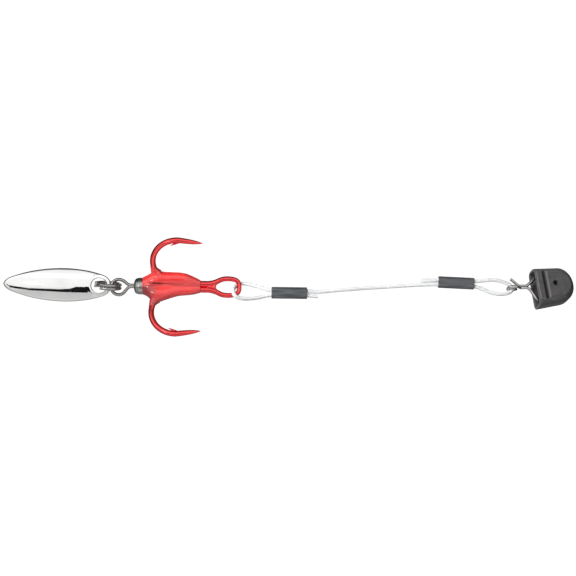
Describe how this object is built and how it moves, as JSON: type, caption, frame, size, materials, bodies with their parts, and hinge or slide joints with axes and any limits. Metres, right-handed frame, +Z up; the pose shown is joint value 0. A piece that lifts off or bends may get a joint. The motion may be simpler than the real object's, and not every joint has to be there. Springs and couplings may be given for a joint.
{
  "type": "bladed treble stinger rig",
  "caption": "Red resin-bodied treble hook with a willow spinner blade on a swivel, a looped leader with crimp sleeves, a wire clip and a rubber cap.",
  "frame": {"origin": "middle of the through-hole in the rubber cap, from which the rig hangs", "axes": "+Z up, along the hanging rig towards the cap; +Y away from the side that shows the flat of the blade; +X completes the frame"},
  "size_m": [0.0196, 0.0174, 0.1147],
  "materials": {
    "cap_rubber": "matte",
    "stainless_wire": "bright drawn wire",
    "clear_line": "clear",
    "black_sleeve": "black oxide satin",
    "red_hook_wire": "candy red gloss",
    "red_resin": "gloss",
    "black_nickel": "black nickel satin",
    "blade_chrome": "mirror"
  },
  "bodies": {
    "cap": {"rubber_cap": "cap_rubber"},
    "clip": {"clip_wire": "stainless_wire"},
    "leader": {"leader_line": "clear_line", "hook_sleeve": "black_sleeve", "clip_sleeve": "black_sleeve"},
    "treble": {"double_hook": "red_hook_wire", "third_hook": "red_hook_wire", "hook_body": "red_resin", "swivel_barrel": "black_nickel", "swivel_anchor": "black_nickel"},
    "swivel": {"swivel_eye": "black_nickel"},
    "ring": {"split_ring": "black_nickel"},
    "blade": {"spinner_blade": "blade_chrome"}
  },
  "joints": [
    {"name": "cap_pivot", "type": "hinge", "parent": "cap", "child": "clip", "pos_m": [0, 0, 0], "axis": [0.3523, 0.9171, -0.1868], "range_deg": [-5, 5]},
    {"name": "leader_swing", "type": "hinge", "parent": "clip", "child": "leader", "pos_m": [0.00043, -0.00204, -0.00918], "axis": [0.3523, 0.9171, -0.1868], "range_deg": [-40, 40]},
    {"name": "treble_swing", "type": "hinge", "parent": "leader", "child": "treble", "pos_m": [0.00015, -0.0018, -0.06446], "axis": [0, 1, 0], "range_deg": [-35, 35]},
    {"name": "blade_spin", "type": "hinge", "parent": "treble", "child": "swivel", "pos_m": [-0.00009, -0.0018, -0.084], "axis": [0.0122, 0, 0.9999], "continuous": true},
    {"name": "ring_swing", "type": "hinge", "parent": "swivel", "child": "ring", "pos_m": [0.00005, -0.0018, -0.08669], "axis": [0, 1, 0], "range_deg": [-40, 40]},
    {"name": "blade_swing", "type": "hinge", "parent": "ring", "child": "blade", "pos_m": [-0.00036, -0.0018, -0.09167], "axis": [0, 1, 0], "range_deg": [-45, 45]}
  ]
}
